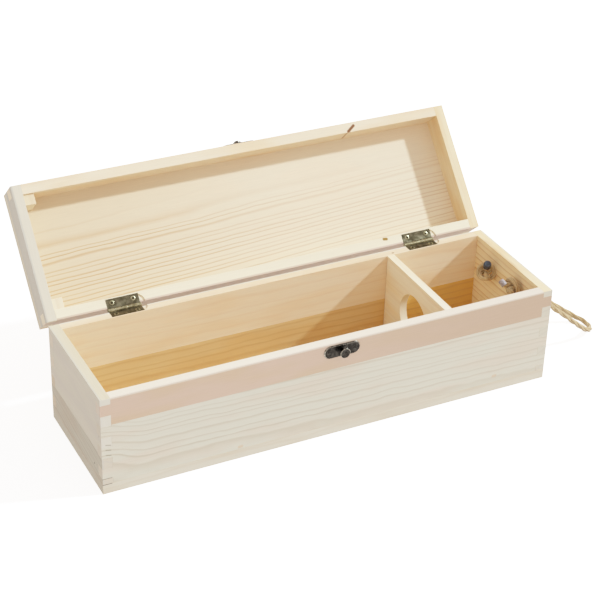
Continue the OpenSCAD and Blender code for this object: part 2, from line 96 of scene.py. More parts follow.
# %% The rope's route
ROPE_D = 4 * MM
END_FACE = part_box("right_end_board")[1].x
ROPE_ROUTE = [
    (-0.014, 0.0165, 0.0575), (-0.0105, 0.0175, 0.0592), (-0.007, 0.018, 0.06),
    (0, 0.018, 0.06), (0.006, 0.018, 0.0585), (0.012, 0.018, 0.054), (0.018, 0.018, 0.0475),
    (0.025, 0.018, 0.039), (0.037, 0.0175, 0.027), (0.049, 0.0155, 0.017), (0.059, 0.0115, 0.0102),
    (0.0675, 0.0065, 0.0048), (0.072, 0, 0.0027), (0.071, -0.008, 0.0027),
    (0.0655, -0.0148, 0.0054), (0.058, -0.0182, 0.01), (0.0485, -0.0198, 0.018),
    (0.037, -0.02, 0.028), (0.025, -0.0195, 0.038), (0.018, -0.019, 0.0465),
    (0.012, -0.0185, 0.0535), (0.006, -0.018, 0.0585), (0, -0.018, 0.06),
    (-0.007, -0.018, 0.06), (-0.0105, -0.0183, 0.0615), (-0.014, -0.019, 0.064),
]
route = [Vector((END_FACE, 0, 0)) + Vector(point) for point in ROPE_ROUTE]


def smooth_line(points, per_span):
    """Points on a smooth curve that runs through the given ones."""
    line = []
    last = len(points) - 1
    for i in range(last):
        start, end = points[i], points[i + 1]
        leave = (end - points[max(i - 1, 0)]) / 2
        arrive = (points[min(i + 2, last)] - start) / 2
        for step in range(per_span):
            t = step / per_span
            line.append(
                (2 * t**3 - 3 * t**2 + 1) * start + (t**3 - 2 * t**2 + t) * leave
                + (3 * t**2 - 2 * t**3) * end + (t**3 - t**2) * arrive
            )
    return line + [points[-1]]


def length_of(line):
    return sum((b - a).length for a, b in zip(line, line[1:]))


rope_line = smooth_line(route, 16)

# %% Three strands round a line
STRANDS = 3
LAY = 8 * ROPE_D
STRAND_R = 0.28 * ROPE_D
STRAND_SIDES = 10


def tube(name, line, radius, sides):
    """A closed round tube along a line of points, as a mesh. A curve's own UV map counts once round the
    tube and once along it."""
    curve = bpy.data.curves.new(name, "CURVE")
    curve.dimensions = "3D"
    curve.bevel_depth = radius
    curve.bevel_resolution = sides // 2 - 2
    curve.use_fill_caps = True
    spline = curve.splines.new("POLY")
    spline.points.add(len(line) - 1)
    for point, place in zip(spline.points, line):
        point.co = (*place, 1)
    holder = bpy.data.objects.new(name, curve)
    scene.collection.objects.link(holder)
    bpy.context.view_layer.update()
    mesh = bpy.data.meshes.new_from_object(holder.evaluated_get(bpy.context.evaluated_depsgraph_get()))
    bpy.data.objects.remove(holder)
    return mesh


def strand_lines(line):
    """The middle lines of the strands, wound round a line without any twist of their own frame."""
    reach = ROPE_D / 2 - STRAND_R
    side = (line[1] - line[0]).orthogonal().normalized()
    lines = [[] for _ in range(STRANDS)]
    run = 0.0
    for i, point in enumerate(line):
        ahead = line[min(i + 1, len(line) - 1)]
        behind = line[max(i - 1, 0)]
        along = (ahead - behind).normalized()
        side = (side - along * side.dot(along)).normalized()
        if i:
            run += (point - line[i - 1]).length
        for s in range(STRANDS):
            turn = math.tau * (run / LAY + s / STRANDS)
            lines[s].append(point + Matrix.Rotation(turn, 3, along) @ side * reach)
    return lines


def new_piece(name, mesh, body, slot, *stands_for):
    """Links a finished mesh as a piece that rides on a body."""
    mesh.name = name
    piece = bpy.data.objects.new(name, mesh)
    scene.collection.objects.link(piece)
    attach(piece, body)
    if stands_for:
        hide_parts(*stands_for)
    return piece


def laid_rope(name, line):
    """Three strands along a line, as one mesh. Its UV map holds the mm along a strand and the share of a
    turn round it."""
    bm = bmesh.new()
    for strand in strand_lines(line):
        mesh = tube(name, strand, STRAND_R, STRAND_SIDES)
        known = len(bm.faces)
        bm.from_mesh(mesh)
        bpy.data.meshes.remove(mesh)
        bm.faces.ensure_lookup_table()
        uv = bm.loops.layers.uv.active
        for face in bm.faces[known:]:
            for loop in face.loops:
                share_round, share_along = loop[uv].uv
                loop[uv].uv = (share_along * length_of(strand) / MM, share_round)
    for face in bm.faces:
        face.smooth = True
    mesh = bpy.data.meshes.new(name)
    bm.to_mesh(mesh)
    bm.free()
    return mesh


rope = new_piece(
    "rope_handle_strands", laid_rope("rope_handle_strands", rope_line), "box", "rope", "rope_handle")
print("rope faces:", len(rope.data.polygons))

# %% [markdown]
# ## The knots
# Each end of the rope is tied in an overhand knot inside the box, so that it can't slip out. An
# overhand knot is one turn round the rope, with the end tucked back under that turn. The turn is an
# oval because it holds two ropes side by side. Its points are given from the rope's end: first away
# from the wall, then towards the side where the tail leaves, then across.

# %% Overhand knots
KNOT_POINTS = [
    (-1.5, 0, 0), (1.5, -0.2, 0), (3.4, -1.4, -0.6), (2.9, -3.3, -1.2), (1.9, -3.0, 2.0),
    (1.2, 0.8, 3.9), (0.5, 5.0, 3.0), (-0.2, 7.0, 0), (-0.9, 5.0, -3.0), (-1.6, 0.8, -3.9),
    (-2.3, -3.0, -2.0), (-3.0, -3.2, 1.6), (-4.0, 0.0, 3.2), (-4.1, 2.8, 1.6), (-2.3, 3.8, 0.2),
    (0.5, 3.9, 0), (3.2, 3.9, 0),
]
TAILS = {
    "rope_back_knot": [(5.0, 4.9, -0.5), (6.6, 6.4, -0.9), (8.6, 7.4, -1.3)],
    "rope_front_knot": [(4.6, 4.6, 0), (5.6, 6.2, 0), (6.2, 8.0, 0)],
}
KNOT_WAYS = {
    "rope_back_knot": (Vector((-0.62, -0.6, 0.5)), Vector((0.15, 0.3, 0.94))),
    "rope_front_knot": (Vector((-1, 0, 0)), Vector((0, 0.83, 0.56))),
}
ROPE_ENDS = {"rope_back_knot": route[0], "rope_front_knot": route[-1]}
KNOT_WIDE = {"rope_back_knot": 1.5, "rope_front_knot": 1.1}
TIP_RADII = {"rope_back_knot": 2.9 * MM, "rope_front_knot": 2.3 * MM}
TIP_L = 5 * MM
TIP_ROUND = 0.6 * MM

knots = []
for name, tail in TAILS.items():
    inward, tail_side = KNOT_WAYS[name]
    inward = inward.normalized()
    across = inward.cross(tail_side).normalized()
    tail_side = across.cross(inward)
    turn = Matrix((inward, tail_side, across)).transposed()
    wide = Vector((1, 1, KNOT_WIDE[name])) * MM
    points = [ROPE_ENDS[name] + turn @ (Vector(point) * wide) for point in KNOT_POINTS + tail]
    line = smooth_line(points, 8)
    knots.append(new_piece(name + "_strands", laid_rope(name, line), "box", "rope", name))

    bm = bmesh.new()
    tip_r = TIP_RADII[name]
    profile = [(0, 0), (tip_r, 0), (tip_r, TIP_L - TIP_ROUND), (tip_r - TIP_ROUND, TIP_L), (0, TIP_L)]
    corners = [bm.verts.new((r, 0, z)) for r, z in profile]
    outline = [bm.edges.new(pair) for pair in zip(corners, corners[1:])]
    bmesh.ops.spin(
        bm, geom=corners + outline, cent=(0, 0, 0), axis=(0, 0, 1), angle=math.tau, steps=24,
        use_merge=True,
    )
    bmesh.ops.remove_doubles(bm, verts=bm.verts, dist=0.01 * MM)
    bmesh.ops.recalc_face_normals(bm, faces=bm.faces)
    end_way = (line[-1] - line[-3]).normalized()
    place = Matrix.Translation(line[-1] - end_way * (TIP_L - 0.3 * MM))
    bmesh.ops.transform(bm, matrix=place @ end_way.to_track_quat("Z", "Y").to_matrix().to_4x4(), verts=bm.verts)
    mesh = bpy.data.meshes.new(name + "_tip")
    bm.to_mesh(mesh)
    bm.free()
    mesh.polygons.foreach_set("use_smooth", [True] * len(mesh.polygons))
    mesh.set_sharp_from_angle(angle=math.radians(40))
    knots.append(new_piece(name + "_tip", mesh, "box", "rope"))
    print(name, "rope in the knot:", round(length_of(line) / MM), "mm")

# %% [markdown]
# ## Helpers for materials
# Colours are written as the hex values a colour picker shows, which are sRGB. Blender works with
# linear light, so one function turns them. A second small function adds a node, sets it and wires it.

# %% Colour and node helpers


def linear(code):
    """Linear red, green, blue and alpha of an sRGB hex colour."""
    parts = [int(code[i:i + 2], 16) / 255 for i in (1, 3, 5)]
    return (*(p / 12.92 if p <= 0.04045 else ((p + 0.055) / 1.055) ** 2.4 for p in parts), 1)


def add(tree, kind, wires=(), give=0, **settings):
    """Adds a node with its settings and gives back one of its outputs, by number or name. wires holds
    what goes into its inputs, values or other outputs: a list fills the first ones, a dict names them."""
    node = tree.nodes.new("ShaderNode" + kind)
    for name, value in settings.items():
        setattr(node, name, value)
    for name, value in wires.items() if isinstance(wires, dict) else enumerate(wires):
        if isinstance(value, bpy.types.NodeSocket):
            tree.links.new(value, node.inputs[name])
        else:
            node.inputs[name].default_value = value
    return node.outputs[give]


def new_material(name):
    """An empty material with its tree and its shader."""
    material = bpy.data.materials.new(name)
    material.use_nodes = True
    tree = material.node_tree
    return material, tree, tree.nodes["Principled BSDF"]


print("white in linear light:", linear("#FFFFFF"), "mid grey:", [round(p, 3) for p in linear("#808080")])

# %% [markdown]
# ## Pine
# The boards are planed, unfinished pine. Pine shows pale soft earlywood and, once a year, a thin
# darker line of hard latewood. A trunk is a stack of rings round a heart, so the pattern is worked out
# as it arises: a point's distance from the heart, counted in ring widths. Where the heart lies close
# behind a face the rings run flat and the face looks plain, and further away they show as lines. The
# end grain then comes out right by itself.
#
# Each board has its own heart, so each has its own material. The lid is packed open, and a Mapping
# node turns its boards back to shut first, so that one way of counting serves the whole box.

# %% The pine material
lid_joint = next(joint for joint in frame["joints"] if joint["name"] == "lid_hinge")
LID_OPEN = math.radians(lid_joint["range_deg"][1])
HINGE = Vector(lid_joint["pos_m"]) / MM
# How dark a year is at each share of it
LATEWOOD = ((0.55, 0.06), (0.86, 1.0), (0.93, 0.55))
WEAKEST_YEAR = 0.45
PATCHES = (0.4, 0.68)
STREAKS, STREAK_SHARE = (0.7, 0.8), 0.22
FIBRE_TONES = (0.95, 1.04)
END_FACING, END_SHARE = (0.55, 0.95), 0.75
WOOD_IOR = 1.45
SOFT_ROUGH, HARD_ROUGH = 0.74, 0.6
LINE_RELIEF, RELIEF_SHARE, RELIEF_MM = 0.5, 0.35, 0.06
# Length along the fibre and width across it, in mm, and the levels of detail
GRAIN = {
    "drift": (110, 30, 2), "ripple": (16, 8, 1), "patches": (70, 14, 2), "fibres": (16, 0.45, 3),
    "streaks": (7, 0.35, 1),
}


def pine(
    name, order, heart, early, late, lid=False, lean=0.0, ring=5.0, strength=0.5, fade=(0, 1, 1),
    wander=3.0, ripple=0.6, bend=(0, 1, 0), plain=(-99, -98), blush=None, tint_along=None, skin=None,
    end="#E9DABC", marks=(), seed=0,
):
    """Planed pine: to the eye a dull, pale surface, whose thin darker lines have a little more gloss than
    the soft wood between them.

    order: the axes along the fibre, across the face and through the board.
    heart, lean: where the middle of the trunk crosses the board's middle, in mm, and how far it moves
    across for each mm along.
    ring, strength, fade: a year's width in mm, how strong its line is, and where along the board the
    lines weaken and to what share.
    wander, ripple: how far, in mm, the rings stray slowly and quickly.
    bend, plain: where near the left end the rings lift and how far, and where across the board the
    lines fade in.
    early, late, blush: the soft wood, the lines and the deeper patches.
    tint_along: a tint, darker than the wood, and the places along the board that it fades out between. On the
    back's lower board it is painted shade.
    skin: the colour and blush of the sanded outside, and the depths that it sets in between. On the lid's back
    rail it is painted shade.
    end: the end grain. marks: (start, end, radius, softness, share, colour) of each speck or streak."""
    material, tree, shader = new_material(name)
    coords = add(tree, "TexCoord", give="Object")
    turn = LID_OPEN if lid else 0.0
    shift = HINGE - Matrix.Rotation(turn, 3, "X") @ HINGE
    shut = add(tree, "Mapping", {0: coords, "Location": shift, "Rotation": (turn, 0, 0), "Scale": (1 / MM,) * 3})
    axes = add(tree, "SeparateXYZ", [shut]).node.outputs
    along, across, through = (axes["xyz".index(letter)] for letter in order)
    board = add(tree, "CombineXYZ", [along, across, through])

    # Every board is cut from its own place in the noises, which are longer along the fibre than across it
    own = add(tree, "VectorMath", [board, (seed * 331, seed * 57, seed * 23)], operation="ADD")
    grain = {}
    for title, (length, width, detail) in GRAIN.items():
        scaled = add(tree, "VectorMath", [own, (1 / length, 1 / width, 1 / width)], operation="MULTIPLY")
        grain[title] = add(tree, "TexNoise", {"Vector": scaled, "Scale": 1.0, "Detail": detail}).node.outputs

    # The distance from the heart, which drifts slowly along the trunk
    place = board
    for title, far in (("drift", wander), ("ripple", ripple)):
        stray = add(tree, "VectorMath", [grain[title]["Color"], (0.5,) * 3], operation="SUBTRACT")
        stray = add(tree, "VectorMath", [stray, (0, 2 * far, 2 * far)], operation="MULTIPLY")
        place = add(tree, "VectorMath", [place, stray], operation="ADD")
    heart_across = add(tree, "Math", [along, lean, heart[0]], operation="MULTIPLY_ADD")
    bent = add(tree, "MapRange", [along, *bend, 0.0], interpolation_type="SMOOTHSTEP")
    heart_across = add(tree, "Math", [heart_across, bent], operation="ADD")
    middle = add(tree, "CombineXYZ", [along, heart_across, heart[1]])
    away = add(tree, "VectorMath", [place, middle], operation="SUBTRACT")
    radius = add(tree, "VectorMath", [away], "Value", operation="LENGTH")

    # Years are uneven, and each ends in a thin line that is stronger in some than in others
    count = add(tree, "Math", [radius, ring], operation="DIVIDE")
    uneven = add(tree, "TexNoise", {"W": count, "Scale": 0.6, "Detail": 0.0}, noise_dimensions="1D")
    count = add(tree, "Math", [uneven, 1.0, count], operation="MULTIPLY_ADD")
    share_of_year = add(tree, "Math", [count], operation="FRACT")
    line = add(tree, "ValToRGB", [share_of_year])
    ramp = line.node.color_ramp
    ramp.interpolation = "EASE"
    ramp.elements[1].color = ramp.elements[0].color
    for place_in_year, level in LATEWOOD:
        ramp.elements.new(place_in_year).color = (level,) * 3 + (1,)
    year = add(tree, "Math", [count], operation="FLOOR")
    vigour = add(tree, "TexWhiteNoise", {"W": year}, noise_dimensions="1D")
    vigour = add(tree, "MapRange", [vigour, 0.0, 1.0, WEAKEST_YEAR, 1.0])
    line = add(tree, "Math", [line, vigour], operation="MULTIPLY")
    fading = add(
        tree, "MapRange", [along, fade[0], fade[1], strength, strength * fade[2]],
        interpolation_type="SMOOTHSTEP")
    shown = add(tree, "Math", [line, fading], operation="MULTIPLY")
    fading = add(tree, "MapRange", [across, *plain, 0.0, 1.0], interpolation_type="SMOOTHSTEP")
    shown = add(tree, "Math", [shown, fading], operation="MULTIPLY")

    # Colour: patches, lines, fine fibres and short resin streaks
    patch = add(
        tree, "MapRange", [grain["patches"][0], *PATCHES, 0.0, 1.0], interpolation_type="SMOOTHSTEP")
    colour = add(tree, "Mix", {0: patch, 6: linear(early), 7: linear(blush or early)}, 2, data_type="RGBA")
    if skin:
        pale, pale_blush, start, stop = skin
        outside = add(tree, "Mix", {0: patch, 6: linear(pale), 7: linear(pale_blush)}, 2, data_type="RGBA")
        share = add(tree, "MapRange", [through, start, stop, 0.0, 1.0], interpolation_type="SMOOTHSTEP")
        colour = add(tree, "Mix", {0: share, 6: colour, 7: outside}, 2, data_type="RGBA")
    # A tint that darkens the board towards one end; on the back's lower board it is painted shade.
    if tint_along:
        tint, start, stop = tint_along
        share = add(tree, "MapRange", [along, start, stop, 1.0, 0.0], interpolation_type="SMOOTHSTEP")
        colour = add(tree, "Mix", {0: share, 6: colour, 7: linear(tint)}, 2, data_type="RGBA")
    colour = add(tree, "Mix", {0: shown, 6: colour, 7: linear(late)}, 2, data_type="RGBA")
    streak = add(
        tree, "MapRange", [grain["streaks"][0], *STREAKS, 0.0, STREAK_SHARE],
        interpolation_type="SMOOTHSTEP")
    colour = add(tree, "Mix", {0: streak, 6: colour, 7: linear(late)}, 2, data_type="RGBA")
    fibre = add(tree, "MapRange", [grain["fibres"][0], 0.25, 0.75, *FIBRE_TONES])
    colour = add(tree, "VectorMath", {0: colour, "Scale": fibre}, operation="SCALE")

    # Across the fibres the wood shows its end grain, which is a little duller
    fibre_way = Matrix.Rotation(-turn, 3, "X") @ Vector([letter == order[0] for letter in "xyz"])
    normal = coords.node.outputs["Normal"]
    facing = add(tree, "VectorMath", [normal, fibre_way], "Value", operation="DOT_PRODUCT")
    facing = add(tree, "Math", [facing], operation="ABSOLUTE")
    cut = add(tree, "MapRange", [facing, *END_FACING, 0.0, END_SHARE], interpolation_type="SMOOTHSTEP")
    colour = add(tree, "Mix", {0: cut, 6: colour, 7: linear(end)}, 2, data_type="RGBA")

    for start, stop, reach, soft, share, tint in marks:
        start, run = Vector(start), Vector(stop) - Vector(start)
        offset = add(tree, "VectorMath", [shut, start], operation="SUBTRACT")
        if run.length > 0:
            part = add(tree, "VectorMath", [offset, run / run.length_squared], "Value", operation="DOT_PRODUCT")
            part = add(tree, "Clamp", [part])
            nearest = add(tree, "VectorMath", {0: run, "Scale": part}, operation="SCALE")
            offset = add(tree, "VectorMath", [offset, nearest], operation="SUBTRACT")
        distance = add(tree, "VectorMath", [offset], "Value", operation="LENGTH")
        share = add(
            tree, "MapRange", [distance, reach, reach + soft, share, 0.0], interpolation_type="SMOOTHSTEP")
        colour = add(tree, "Mix", {0: share, 6: colour, 7: linear(tint)}, 2, data_type="RGBA")

    tree.links.new(colour, shader.inputs["Base Color"])
    tree.links.new(add(tree, "MapRange", [line, 0.0, 1.0, SOFT_ROUGH, HARD_ROUGH]), shader.inputs["Roughness"])
    shader.inputs["IOR"].default_value = WOOD_IOR
    relief = add(tree, "Math", [line, LINE_RELIEF, grain["fibres"][0]], operation="MULTIPLY_ADD")
    bump = add(tree, "Bump", {"Height": relief, "Strength": RELIEF_SHARE, "Distance": RELIEF_MM * MM})
    tree.links.new(bump, shader.inputs["Normal"])
    return material


print("lid packed open by", round(math.degrees(LID_OPEN)), "degrees; noises:", ", ".join(GRAIN))

# %% [markdown]
# ## Broken edges
# A planed board's edges are broken with a stroke of sandpaper, so they catch a thin line of light. The
# frame's meshes have knife edges, so each board gets a copy with its loose triangles joined, its flat
# faces made whole and its sharp edges bevelled. Where two boards meet, their small bevels make the
# fine line that shows a joint.

# %% A copy with broken edges
slot_of = {part["node"]: part["material_slot"] for part in frame["record"]["subparts"]}
body_of = {node: "lid" if node.startswith("lid_") else "box" for node in slot_of}


MERGE, FLAT_AREA, BEVEL_STEPS = 0.002 * MM, 4 * MM**2, 2
FLAT_WITHIN, SHARP_FROM, SMOOTH_TO = (math.radians(angle) for angle in (0.5, 30, 12))


def eased_copy(node, name, offset, body, finish, edge_finish=None):
    """A copy of a node with its sharp edges bevelled, which then stands for the node."""
    bm = bmesh.new()
    bm.from_mesh(nodes[node].data)
    bmesh.ops.remove_doubles(bm, verts=bm.verts, dist=MERGE)
    bmesh.ops.dissolve_limit(bm, angle_limit=FLAT_WITHIN, verts=bm.verts, edges=bm.edges)
    sharp = [edge for edge in bm.edges if edge.is_manifold and edge.calc_face_angle() > SHARP_FROM]
    flats = {
        tuple(round(value, 4) for value in face.normal) for face in bm.faces if face.calc_area() > FLAT_AREA}
    bmesh.ops.bevel(
        bm, geom=sharp, offset=offset, offset_type="OFFSET", affect="EDGES", segments=BEVEL_STEPS,
        profile=0.5, material=-1, clamp_overlap=True,
    )
    for face in bm.faces:
        face.smooth = True
        if edge_finish:
            face.material_index = tuple(round(value, 4) for value in face.normal) not in flats
    mesh = bpy.data.meshes.new(name)
    bm.to_mesh(mesh)
    bm.free()
    mesh.set_sharp_from_angle(angle=SMOOTH_TO)
    mesh.materials.append(finish)
    if edge_finish:
        mesh.materials.append(edge_finish)
    return new_piece(name, mesh, body, slot_of[node], node)


def dress(boards, ease):
    """Gives each board of a list its own pine and its broken edges."""
    for node, wood in boards.items():
        eased_copy(node, node + "_planed", ease, body_of[node], pine(node + "_pine", **wood))
    print("dressed:", ", ".join(boards))


EASE = 0.15 * MM
print("board edges are broken by", EASE / MM, "mm")

# %% [markdown]
# ## The front and the left end
# The front is two boards glued edge to edge: a pinkish one over a whiter one, whose thin lines crowd
# together above its middle and bend up at the left. The left end is a plain board over a board with
# narrow rings. The dark specks are where glue and dust caught in the joints.

# %% Front and left end
DASHES = tuple(
    ((-171.8, -50, z), (-168.4, -50, z - 0.8), 0.15, 0.45, 0.6, "#6E6048") for z in (39.6, 35.6, 31.4, 27.8))
dress({
    "front_upper_board": dict(
        order="xzy", heart=(60, 12), ring=7.0, strength=0.12, wander=5, seed=1,
        early="#E9D5B4", late="#C49A7F", blush="#E7CDA8", tint_along=("#CAAC92", 175, -60),
        skin=("#D8B9A3", "#D5B698", -48.3, -49.3), end="#CDBFB0",
        # The pale band over its top rim is painted light: the lit rim whiter than the board.
        marks=(((-168, -46, 76), (168, -46, 76), 4.0, 0.3, 0.65, "#F4EBDB"),),
    ),
    "front_lower_board": dict(
        order="xzy", heart=(6, -30), lean=-0.02, ring=3.9, strength=0.8, fade=(-60, 120, 0.8),
        wander=2.2, ripple=0.8,
        bend=(-176, -142, 7), seed=2, early="#E3CCA0", late="#C6B99F", blush="#E0C594",
        skin=("#E3DFCC", "#E4D8C4", -48.3, -49.3), end="#C6BFB2",
        marks=(
            ((-175, -50, 12.05), (-168.5, -50, 12.05), 0.3, 0.35, 0.9, "#4C4236"), *DASHES,
            ((-75, -50, 9.7), (-73, -50, 9.8), 0.5, 1.2, 0.4, "#D8A060"),
            ((130, -50, 13.1), (132, -50, 13.2), 0.5, 1.2, 0.4, "#D8A060"),
        ),
    ),
    "left_end_upper_board": dict(
        order="yzx", heart=(50, -190), ring=6.0, strength=0.12, wander=3, seed=5,
        early="#DBD0B4", late="#BFA98B", blush="#D9CBAA",
        skin=("#D0C9B6", "#CBC3B4", -173.3, -174.3),
        marks=(*DASHES, ((-175, -46.2, 50), (-175, -46.2, 45), 0.2, 0.5, 0.5, "#7A6A5A")), end="#E9E5D8",
    ),
    "left_end_lower_board": dict(
        order="yzx", heart=(-5, -186), lean=0.12, ring=3.0, strength=0.6, wander=1.5, seed=6,
        early="#D6B887", late="#8C7A66", blush="#D2AE78",
        skin=("#BCB7A4", "#B8AC96", -173.3, -174.3), end="#DFD9CB",
        marks=(((-175, -35.1, 16.3), (-175, -35.1, 16.3), 0.5, 0.4, 0.9, "#3A2A20"),),
    ),
}, EASE)

# %% [markdown]
# ## The back, the right end and the divider
# Inside the box the back's lower board and the bottom are the most golden. Light that has bounced from
# wood to wood deepens that colour by itself, so the boards need less of it than the eye expects.

# %% Back, right end, bottom and divider
dress({
    "back_upper_board": dict(
        order="xzy", heart=(110, 70), ring=6.0, strength=0.25, wander=4, seed=3,
        early="#EED6B3", late="#DBAA7C", blush="#ECCDA5", end="#CFC8B8",
        skin=("#E3DCCA", "#E0D3BC", 48.3, 49.3),
        marks=(((94.3, 45, 76), (95, 45, 76), 0.5, 0.5, 0.8, "#8A5A3A"),),
    ),
    "back_lower_board": dict(
        order="xzy", heart=(4, 62), ring=4.5, strength=0.4, wander=2.5, seed=4,
        early="#DBB67E", late="#B27C40", blush="#D8AC70", end="#C4BAA8",
        # Its golden tint towards the right end is painted shade: the deep glow of the right-hand room.
        tint_along=("#DDAD5E", 112, 72), skin=("#DED3BE", "#D9CBB0", 48.3, 49.3),
    ),
    "right_end_board": dict(
        order="yzx", heart=(-10, 186), ring=4.6, strength=0.65, wander=3, seed=7,
        early="#EFDAB0", late="#B8844A", blush="#EBCB98", end="#D6D5C8",
        skin=("#E6DCC4", "#E2D2B4", 173.3, 174.3),
    ),
    "bottom_panel": dict(
        order="xyz", heart=(-10, -20), ring=5.0, strength=0.3, wander=3, seed=8,
        early="#E0C698", late="#CDB795", end="#ABA491", skin=("#E4DCC8", "#DDD0B8", 7.79, 7.7),
        marks=(((-175, -50, 7.8), (-168.5, -50, 7.8), 0.3, 0.35, 0.9, "#4C4236"),),
    ),
    "divider": dict(
        order="yzx", heart=(100, 130), ring=6.0, strength=0.2, wander=4, seed=9,
        early="#F5EACD", late="#D6AA7B", blush="#F3DFB8",
        # The dark line along its back edge is painted shade in the gap where it meets the back.
        marks=(((88.3, 42.4, 8), (88.3, 42.4, 74), 0.2, 0.5, 0.55, "#8A5A30"),),
    ),
}, EASE)

# %% [markdown]
# ## The lid
# The lid's panel is one wide board. Its rings are plain near the front and stand close together near
# the hinges, strongest at the left. The front rail has a spike knot: a side branch cut along its
# length, which shows as a reddish-brown streak over the edge.

# %% Lid boards
dress({
    "lid_panel": dict(
        order="xyz", lid=True, heart=(-35, 146), lean=-0.045, ring=2.4, strength=1.0, fade=(-120, 60, 0.6),
        ripple=0.25, plain=(-30, 5), tint_along=("#DDC6A2", -170, 60),
        wander=1.3, seed=14, early="#EAD8B9", late="#BC8852", blush="#EBD6B6", end="#CFC8B4",
    ),
    "lid_front_rail": dict(
        order="xzy", lid=True, heart=(130, -30), ring=6.0, strength=0.2, wander=3, seed=10,
        early="#ECD8B8", late="#D5A274", blush="#EACEA6",
        marks=(
            ((96.0, -47.0, 76.4), (90.5, -43.2, 76.4), 0.7, 0.8, 1.0, "#74431A"),
            ((89.8, -42.5, 78), (91, -42.5, 91), 0.3, 1.0, 0.7, "#A0683C"),
        ),
    ),
    "lid_back_rail": dict(
        order="xzy", lid=True, heart=(120, 60), ring=6.0, strength=0.15, wander=3, seed=11,
        # Its darker, pinker outside is painted shade: the dark gap between lid and body.
        early="#F1E4C4", late="#DDB78F", skin=("#D2B9A6", "#CFB69F", 48.3, 49.3),
        marks=(((93.2, 43.8, 76.4), (95.4, 44.1, 76.4), 0.8, 0.6, 1.0, "#94702C"),),
    ),
    "lid_left_rail": dict(
        order="yzx", lid=True, heart=(110, -190), ring=5.0, strength=0.15, wander=3, seed=12,
        early="#D8CEB8", late="#CCAC86", skin=("#C3BDAF", "#BEB8AA", -173.3, -174.3),
    ),
    "lid_right_rail": dict(
        order="yzx", lid=True, heart=(60, 190), ring=6.0, strength=0.2, wander=3, seed=13,
        early="#EBD5AC", late="#D19C6B", blush="#E6C695",
    ),
    # The front block's more tan colour is painted shade: it sits in the rails' shadow.
    "lid_front_block": dict(
        order="yzx", lid=True, heart=(60, -150), ring=4.0, strength=0.3, wander=2, seed=15,
        early="#E8D2AC", late="#D2A678",
    ),
    "lid_back_block": dict(
        order="yzx", lid=True, heart=(60, -150), ring=4.0, strength=0.3, wander=2, seed=16,
        early="#EEDDBC", late="#D8AE80",
    ),
}, EASE)

# %% [markdown]
# ## Antiqued brass
# The hinges and the clasp are stamped brass that was blackened and then rubbed, so the flats are dark and the
# edges are bright again.
# Their bright edges are also painted highlight: the lamp's glint along bevels, knuckles and rims.
# Each stamped piece has two finishes: one for its flats and one for its bevels.

# %% Brass finishes


def antiqued(name, dark, light, rough, spot_mm):
    """Blackened brass, mottled where the rubbing took some of the black off. To the eye it is a dark metal
    whose gloss is soft and uneven, brighter where more was rubbed away."""
    material, tree, shader = new_material(name)
    coords = add(tree, "TexCoord", give="Object")
    mottle = add(tree, "TexNoise", {"Vector": coords, "Scale": 1 / (spot_mm * MM), "Detail": 4.0})
    share = add(tree, "MapRange", [mottle, 0.35, 0.7, 0.0, 1.0], interpolation_type="SMOOTHSTEP")
    colour = add(tree, "Mix", {0: share, 6: linear(dark), 7: linear(light)}, 2, data_type="RGBA")
    tree.links.new(colour, shader.inputs["Base Color"])
    gloss = add(tree, "MapRange", [mottle, 0.3, 0.7, rough + 0.1, rough - 0.08])
    tree.links.new(gloss, shader.inputs["Roughness"])
    shader.inputs["Metallic"].default_value = 1.0
    bump = add(tree, "Bump", {"Height": mottle, "Strength": 0.3, "Distance": 0.03 * MM})
    tree.links.new(bump, shader.inputs["Normal"])
    return material


# Greenish, well rubbed brass on the hinges, and nearly black brass on the clasp. Their edge finishes are rubbed
# brass and painted highlight.
hinge_flat = antiqued("antiqued_brass", "#474130", "#79725C", 0.4, 4.0)
hinge_edge_wear_and_highlight = antiqued("rubbed_brass_edges_and_painted_highlights", "#7E7658", "#C4BC98", 0.34, 1.5)
clasp_flat = antiqued("blackened_brass", "#1A1715", "#322E2A", 0.27, 2.0)
clasp_edge_wear_and_highlight = antiqued("blackened_brass_edges_and_painted_highlights", "#554F47", "#A49C8F", 0.3, 1.5)
print("brass finishes:", ", ".join(finish.name for finish in (hinge_flat, hinge_edge_wear_and_highlight, clasp_flat, clasp_edge_wear_and_highlight)))

# %% [markdown]
# ## Hinges
# Each hinge has a leaf let into the body, a leaf let into the lid and a pin through the rolled
# knuckles.

# %% Hinge leaves and pins
HINGE_EASE = 0.15 * MM
hinge_nodes = [node for node in slot_of if "hinge_" in node and "screws" not in node]
# Bevels and knuckles take the bright edge finish: rubbed brass and painted highlight.
for node in hinge_nodes:
    body = "lid" if "lid_leaf" in node else "box"
    eased_copy(node, node + "_stamped", HINGE_EASE, body, hinge_flat, hinge_edge_wear_and_highlight)
print("hinge pieces:", ", ".join(hinge_nodes))

# %% [markdown]
# ## Hinge screws
# Small countersunk screws with a low dome and a cross recess hold the leaves. A screw is turned, so it
# is a profile spun round its axis. The recess is then cut with two crossed bars, and each screw stopped
# at its own angle when it was driven in.

# %% Screws
SCREW_HEAD_R, SCREW_R, SCREW_L = 1.7, 0.7, 7.0
SCREW_PROFILE = [
    (0, -SCREW_L), (0.35, -SCREW_L), (SCREW_R, -SCREW_L + 0.8), (SCREW_R, -0.75), (SCREW_HEAD_R, 0),
    (SCREW_HEAD_R - 0.1, 0.04), (1.0, 0.1), (0, 0.14),
]
RECESS = (1.7, 0.5, 1.2)
